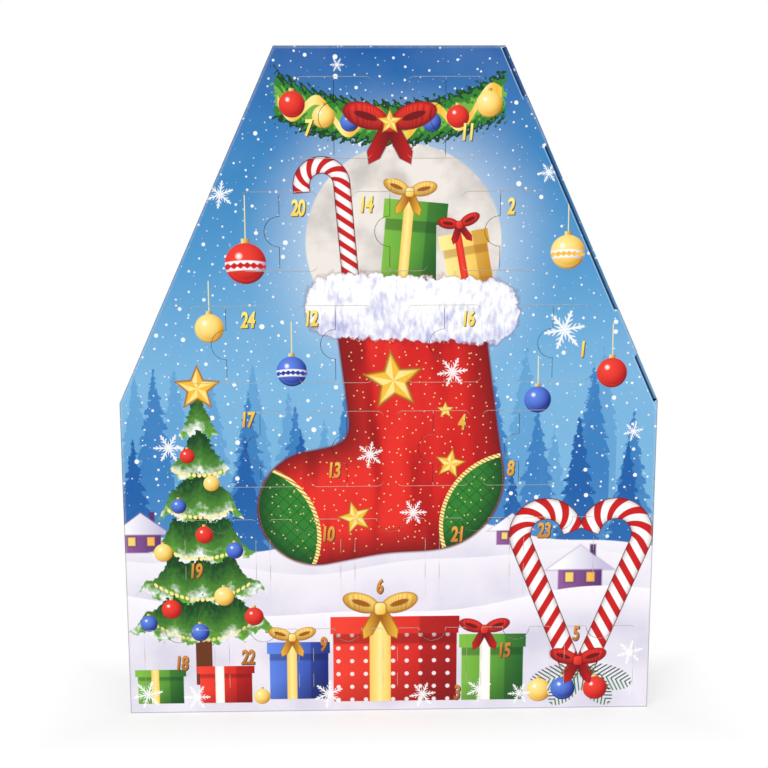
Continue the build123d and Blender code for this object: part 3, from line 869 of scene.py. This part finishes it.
def press(corners, faces, x, z, proud, sunk):
    """A flat outline pressed on the front of the carton, proud of it and sunk in it."""
    flat = [(x + c[0] * NUMBER_HEIGHT * DIGIT_NARROWING, z + c[1] * NUMBER_HEIGHT) for c in corners]
    points = [(px, y, pz) for y in (-DEPTH / 2 - proud, -DEPTH / 2 + sunk) for px, pz in flat]
    count = len(flat)
    uses = {}
    for face in faces:
        for a, b in zip(face, face[1:] + face[:1]):
            uses[(a, b)] = uses.get((a, b), 0) + 1
    solid = [tuple(face) for face in faces]
    solid += [tuple(i + count for i in reversed(face)) for face in faces]
    for a, b in list(uses):
        if (b, a) not in uses:
            solid.append((b, a, a + count, b + count))
    return points, solid


shapes = digits([str(number) for number in NUMBER_PLACES])
for (number, (x, z)), (corners, faces) in zip(NUMBER_PLACES.items(), shapes):
    under_points, under = press(corners, faces, x + 0.55, z - 0.5, proud=0.02, sunk=0.02)
    over_points, over = press(corners, faces, x, z, proud=0.05, sunk=0.01)
    over = [tuple(i + len(under_points) for i in face) for face in over]
    mesh = bpy.data.meshes.new(f"number_{number:02d}")
    mesh.from_pydata([Vector(point) * MM for point in under_points + over_points], [], under + over)
    mesh.materials.append(ink_ground)
    mesh.materials.append(ink_face)
    for index, face in enumerate(mesh.polygons):
        face.material_index = int(index >= len(under))
    mesh.validate()
    piece = bpy.data.objects.new(f"number_{number:02d}", mesh)
    bpy.context.collection.objects.link(piece)
    leaves = [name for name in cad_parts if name.startswith(f"door_{number:02d}")]
    middles = {name: sum(corner[0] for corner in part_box(name)) / 2 / MM for name in leaves}
    leaf = min(leaves, key=lambda name: abs(middles[name] - x))
    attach(piece, leaf)

# Walls of the carton: the same printed sheet, folded back round a flat front. The bottom wall
# carries the carton, and the right slope wall is the closure, with its three tuck flaps.

wrap = Picture("printed wall board", roughness=0.42, specular_level=0.22)
wrap.start()
across, deep, up = wrap.axes(wrap.places)
side, ahead, above = wrap.axes(wrap.normal)

# the print runs round each fold, and is spread over the back from both of its edges
fold_back = deep + DEPTH / 2
to_edge = wrap.node("ShaderNodeClamp", sockets={0: across * 0.01, 1: -1.0, 2: 1.0})
on_back = wrap.inside(-ahead + 0.5, 0.2) * DEPTH
wrap.spread(across + side * fold_back + to_edge * on_back, up + above * fold_back)
winter_scene(wrap)
wrap.snow_ground(*MIDDLE_DRIFT)
wrap.snow_ground(*NEAR_DRIFT)

# the tuck flaps lie in the shade of the slots, which is deepest at the front sheet's edge
SLOT_SHADE = (20, 48, 88)
in_slot = wrap.inside(ahead + 0.5, 0.2)
from_slope = (WIDTH / 2 - across) * LEAN[0] + (SHOULDER - up) * LEAN[1]
shade = wrap.inside(SLOT_DEPTH - 1.5 - from_slope, 0.9) * 0.72 + 0.28
wrap.lay(in_slot * shade, SLOT_SHADE)

# only what faces out from the middle of the carton is printed
from_middle = wrap.vector("SUBTRACT", wrap.places, (0.0, 0.0, 180.0))
outward = wrap.vector("DOT_PRODUCT", from_middle, wrap.normal, "Value")
wall_board = board(wrap, wrap.inside(-outward, 0.5))
finish_nodes(
    wall_board, "bottom_wall", "left_wall", "right_wall", "left_slope_wall", "top_wall",
    "closure_wall", "tuck_flaps", "back_panel",
)

# Glue flaps and lock tabs: strips of the same board, left unprinted. The flaps are folded in
# and glued to the back panel, and the tabs are folded in behind the closure.

raw = Finish("bare board", roughness=0.75)
raw.start()
fibres = raw.noise(raw.places, 1.4, 4.0, "3D")
raw.bump(fibres, 0.3, FIBRE_RISE)
raw_board = raw.close(base_color=raw.mix(fibres, BOARD_INSIDE, BOARD_FIBRE))
finish_nodes(raw_board, "glue_flaps", "lock_tabs")

# Tray: ivory plastic sheet, formed hot over a mould into one pocket behind each door. Its
# rim lies flat behind the front panel.

tray = Finish("formed tray plastic", roughness=0.22, coat_weight=0.2)
tray.start()
haze = tray.noise(tray.places, 14.0, 3.0, "3D")
grain = tray.noise(tray.places, 0.8, 2.0, "3D")
tray.bump(grain, strength=0.12, distance=0.02)
ivory = tray.mix(haze, (232, 226, 210), (214, 206, 188))
finish_nodes(tray.close(base_color=ivory, roughness=haze * 0.12 + 0.18), "tray_strip")

# Chocolates: hollow and solid shapes in thin metal foil, smoothed on by hand, so that the
# foil keeps fine creases.


def foil(name, light, deep):
    made = Finish(name, metallic=1.0)
    made.start()
    sockets = {"Vector": made.places, "Scale": 0.42, "Randomness": 1.0}
    creases = made.node("ShaderNodeTexVoronoi", {"feature": "DISTANCE_TO_EDGE"}, sockets)
    fine = made.noise(made.places, 1.6, 4.0, "3D")
    height = made.math("MULTIPLY", creases, 2.2, clamp=True) * 0.6 + fine * 0.5
    made.bump(height, strength=0.55, distance=0.4)
    return made.close(base_color=made.mix(fine, light, deep), roughness=fine * 0.25 + 0.16)


for start, light, deep in [
    ("foil_balls", (226, 40, 44), (168, 10, 18)),
    ("foil_bells", (250, 200, 90), (214, 150, 40)),
    ("foil_stars", (236, 238, 242), (190, 194, 202)),
    ("foil_trees", (50, 160, 72), (14, 104, 40)),
    ("foil_bars", (60, 96, 204), (24, 46, 140)),
    ("foil_coins", (250, 204, 96), (216, 156, 44)),
]:
    finish_nodes(foil(start + " foil", light, deep), start)

# Studio: a white floor that takes the shadow, soft light from the front and from above, and
# the camera of the photograph, which stands a little to the left and above the middle.

FLOOR_METRES = 40
FLOOR_WHITE = (0.93, 0.93, 0.93, 1)
PLAIN_WHITE = (1, 1, 1, 1)

bpy.ops.mesh.primitive_plane_add(size=FLOOR_METRES)
floor = bpy.context.object
floor.name = "studio_floor"


def seen_white(tree, lit, white_kind, share):
    """Lays plain white over what is lit, for what the camera, a shine or clear stuff sees."""

    def combine(operation, first, second):
        made = tree.nodes.new("ShaderNodeMath")
        made.operation = operation
        tree.links.new(first, made.inputs[0])
        tree.links.new(second, made.inputs[1])
        return made.outputs[0]

    path = tree.nodes.new("ShaderNodeLightPath")
    seen = path.outputs["Is Camera Ray"]
    for ray in ("Is Glossy Ray", "Is Transmission Ray"):
        seen = combine("MAXIMUM", seen, path.outputs[ray])
    if share:
        seen = combine("MULTIPLY", seen, share.socket)
    white = tree.nodes.new(white_kind)
    white.inputs[0].default_value = PLAIN_WHITE
    blend = tree.nodes.new("ShaderNodeMixShader")
    for source, target in zip((seen, lit.outputs[0], white.outputs[0]), blend.inputs):
        tree.links.new(source, target)
    return blend.outputs[0]


ground = Finish("studio white", roughness=0.9)
ground.start()
ground.surface.inputs["Base Color"].default_value = FLOOR_WHITE
across, deep, up = ground.axes(ground.places)
beyond = ground.larger(abs(across) - WIDTH / 2, abs(deep) - DEPTH / 2)
share = ground.math("MULTIPLY_ADD", beyond, 1 / 90.0, 0.42, clamp=True)
blend = seen_white(ground.tree, ground.surface, "ShaderNodeEmission", share)
end_node = ground.tree.nodes.new("ShaderNodeOutputMaterial")
ground.tree.links.new(blend, end_node.inputs[0])
floor.data.materials.append(ground.material)

world = bpy.data.worlds.new("studio")
bpy.context.scene.world = world
world.use_nodes = True
world.node_tree.nodes.clear()
lamp = world.node_tree.nodes.new("ShaderNodeBackground")
lamp.inputs["Color"].default_value = PLAIN_WHITE
lamp.inputs["Strength"].default_value = 0.6
blend = seen_white(world.node_tree, lamp, "ShaderNodeBackground", None)
end_node = world.node_tree.nodes.new("ShaderNodeOutputWorld")
world.node_tree.links.new(blend, end_node.inputs[0])


def sun(name, strength, spread, azimuth, elevation):
    """A soft lamp that shines from an azimuth, 0 being the front, and an elevation."""
    data = bpy.data.lights.new(name, "SUN")
    data.energy = strength
    data.angle = math.radians(spread)
    lamp = bpy.data.objects.new(name, data)
    bpy.context.collection.objects.link(lamp)
    lamp.rotation_euler = (math.radians(90 - elevation), 0, math.radians(azimuth))


sun("key", strength=1.1, spread=50, azimuth=-30, elevation=42)
sun("fill", strength=0.5, spread=70, azimuth=35, elevation=30)

CAMERA_PLACE = (-27.2, -874.2, 376.7)
CAMERA_TURN = (78.72, 0.08, -1.6)
CAMERA_LENS, CAMERA_FILM = 69.0, 36.0

camera_data = bpy.data.cameras.new("camera")
camera_data.lens = CAMERA_LENS
camera_data.sensor_width = CAMERA_FILM
camera = bpy.data.objects.new("camera", camera_data)
bpy.context.collection.objects.link(camera)
camera.location = [length * MM for length in CAMERA_PLACE]
camera.rotation_euler = [math.radians(angle) for angle in CAMERA_TURN]
bpy.context.scene.camera = camera
bpy.context.scene.view_settings.view_transform = "Standard"
